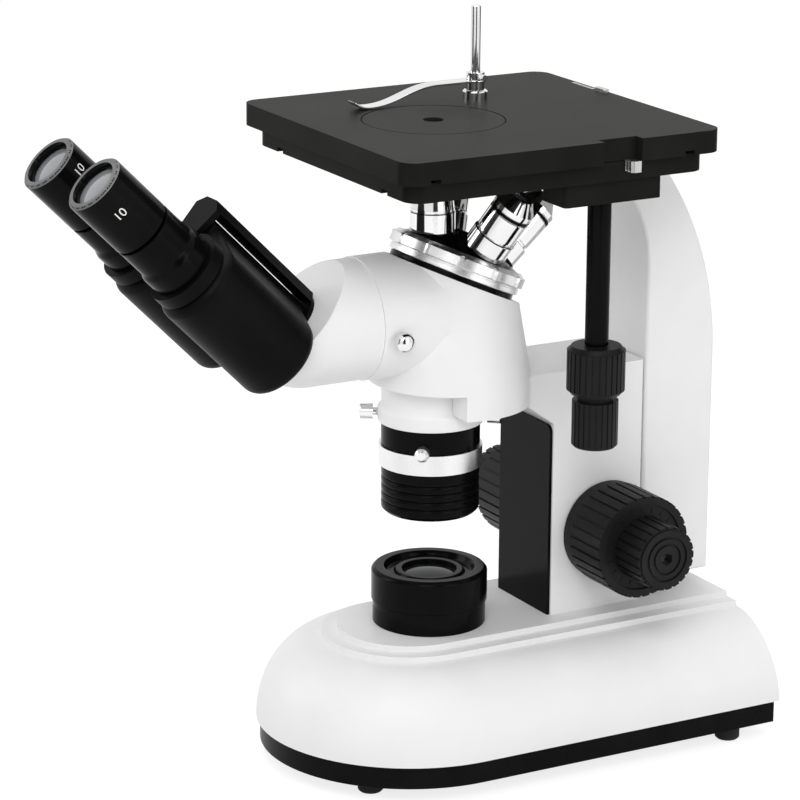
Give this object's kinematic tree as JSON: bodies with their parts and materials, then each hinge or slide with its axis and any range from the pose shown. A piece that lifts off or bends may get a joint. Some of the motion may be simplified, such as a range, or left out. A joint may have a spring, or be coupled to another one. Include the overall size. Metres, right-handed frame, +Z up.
{
  "type": "inverted metallurgical microscope",
  "caption": "Inverted microscope: binocular head and objective turret under a moving mechanical stage on a focusing arm, lamp in a domed base.",
  "frame": {"origin": "on the bench, under the middle of the whole instrument", "axes": "+X to the user's right, +Y to the back, away from the eyepieces, +Z up"},
  "size_m": [0.173, 0.3762, 0.3807],
  "materials": {
    "white_enamel": "satin white enamel",
    "black_enamel": "gloss black enamel",
    "stage_black": "satin black",
    "base_black": "satin black",
    "black_plastic": "fine grained",
    "rubber": "matt",
    "chrome": "bright plated",
    "steel": "ground",
    "clear_glass": "polished",
    "mirror": "front surface"
  },
  "bodies": {
    "stand": {"base_shell": "white_enamel", "base_plate": "base_black", "base_feet": "rubber", "power_inlet": "black_plastic", "lamp_seat": "black_enamel", "lamp_ring": "black_enamel", "lamp_bulb": "clear_glass", "illumination_lenses": "clear_glass", "focus_block": "white_enamel", "front_panel": "black_enamel", "head_body": "white_enamel", "head_lock_screw": "chrome", "beam_splitter": "clear_glass", "viewing_elbow": "white_enamel", "elbow_mirror": "mirror", "illuminator_collar": "white_enamel", "centring_screws": "chrome", "illuminator_tube": "black_enamel", "nosepiece_seat": "black_enamel", "binocular_hinge": "black_enamel"},
    "switch": {"power_rocker": "black_plastic"},
    "dimmer": {"dimmer_knob": "black_plastic"},
    "iris": {"iris_ring": "chrome"},
    "nosepiece": {"nosepiece_ring": "chrome", "turret": "black_enamel", "objective_1": "chrome", "objective_2": "chrome", "objective_3": "chrome", "objective_4": "chrome"},
    "arm": {"focus_arm": "white_enamel", "arm_slide": "steel", "stage_bracket": "stage_black", "y_rack": "steel"},
    "coarse_drive": {"coarse_shaft": "steel", "coarse_knob_right": "black_plastic", "coarse_knob_left": "black_plastic"},
    "fine_drive": {"fine_shaft": "steel", "fine_knob_right": "black_plastic", "fine_knob_left": "black_plastic"},
    "stage_y": {"lower_plate": "stage_black", "drive_block": "stage_black", "drive_sleeve": "black_enamel"},
    "stage_x": {"top_plate": "stage_black", "stage_insert": "stage_black", "x_rack": "steel", "clip_post": "chrome"},
    "y_drive": {"y_shaft": "steel", "y_knob": "black_plastic"},
    "x_drive": {"x_shaft": "steel", "x_knob": "black_plastic"},
    "clip_slider": {"clip_collar": "chrome"},
    "clip": {"clip_arm": "chrome"},
    "right_tube": {"prism_housing_right": "black_enamel", "eye_sleeve_right": "black_enamel", "eyepiece_right": "black_enamel", "eye_lens_right": "clear_glass"},
    "left_tube": {"prism_housing_left": "black_enamel"},
    "dioptre": {"dioptre_ring": "black_enamel"},
    "left_eyepiece": {"eyepiece_left": "black_enamel", "eye_lens_left": "clear_glass"}
  },
  "joints": [
    {"name": "coarse_focus", "type": "slide", "parent": "stand", "child": "arm", "axis": [0, 0, 1], "range_m": [-0.006, 0.015]},
    {"name": "coarse_knobs", "type": "hinge", "parent": "stand", "child": "coarse_drive", "pos_m": [0, 0.11155, 0.112], "axis": [1, 0, 0], "range_deg": [-40, 97]},
    {"name": "fine_knobs", "type": "hinge", "parent": "stand", "child": "fine_drive", "pos_m": [0, 0.11155, 0.112], "axis": [1, 0, 0], "continuous": true},
    {"name": "nosepiece_turn", "type": "hinge", "parent": "stand", "child": "nosepiece", "pos_m": [0, 0.02055, 0.2266], "axis": [0, 0.4067, 0.9135], "continuous": true},
    {"name": "iris_turn", "type": "hinge", "parent": "stand", "child": "iris", "pos_m": [0, 0.02055, 0.1598], "axis": [0, 0, 1], "range_deg": [-30, 30]},
    {"name": "stage_y_slide", "type": "slide", "parent": "arm", "child": "stage_y", "axis": [0, 1, 0], "range_m": [-0.015, 0.015]},
    {"name": "stage_x_slide", "type": "slide", "parent": "stage_y", "child": "stage_x", "axis": [1, 0, 0], "range_m": [-0.015, 0.015]},
    {"name": "y_knob_turn", "type": "hinge", "parent": "stage_y", "child": "y_drive", "pos_m": [0.066, 0.07755, 0.225], "axis": [0, 0, 1], "range_deg": [-144, 144]},
    {"name": "x_knob_turn", "type": "hinge", "parent": "stage_y", "child": "x_drive", "pos_m": [0.066, 0.07755, 0.1997], "axis": [0, 0, 1], "range_deg": [-144, 144]},
    {"name": "clip_lift", "type": "slide", "parent": "stage_x", "child": "clip_slider", "axis": [0, 0, 1], "range_m": [0, 0.03]},
    {"name": "clip_swing", "type": "hinge", "parent": "clip_slider", "child": "clip", "pos_m": [-0.039, 0.06754, 0.34105], "axis": [0, 0, 1], "range_deg": [-60, 80]},
    {"name": "power_switch", "type": "hinge", "parent": "stand", "child": "switch", "pos_m": [0.034, 0.17305, 0.04], "axis": [1, 0, 0], "range_deg": [0, 18]},
    {"name": "brightness", "type": "hinge", "parent": "stand", "child": "dimmer", "pos_m": [-0.034, 0.17555, 0.04], "axis": [0, 1, 0], "range_deg": [0, 270]},
    {"name": "right_eye_spacing", "type": "hinge", "parent": "stand", "child": "right_tube", "pos_m": [0, -0.05525, 0.2356], "axis": [0, -0.7071, 0.7071], "range_deg": [0, 28]},
    {"name": "left_eye_spacing", "type": "hinge", "parent": "stand", "child": "left_tube", "pos_m": [0, -0.05525, 0.2356], "axis": [0, -0.7071, 0.7071], "range_deg": [-28, 0]},
    {"name": "left_eyepiece_slide", "type": "slide", "parent": "left_tube", "child": "left_eyepiece", "axis": [0, -0.7071, 0.7071], "range_m": [-0.0015, 0.0015]},
    {"name": "dioptre_turn", "type": "hinge", "parent": "left_tube", "child": "dioptre", "pos_m": [-0.026, -0.13212, 0.28064], "axis": [0, -0.7071, 0.7071], "range_deg": [-121, 121]}
  ],
  "couplings": [
    {"joint": "coarse_knobs", "follows": "coarse_focus", "rad_per_m": 111.11},
    {"joint": "y_knob_turn", "follows": "stage_y_slide", "rad_per_m": 166.67},
    {"joint": "x_knob_turn", "follows": "stage_x_slide", "rad_per_m": -166.67},
    {"joint": "left_eye_spacing", "follows": "right_eye_spacing", "ratio": -1},
    {"joint": "dioptre_turn", "follows": "left_eyepiece_slide", "rad_per_m": 1396.3}
  ]
}
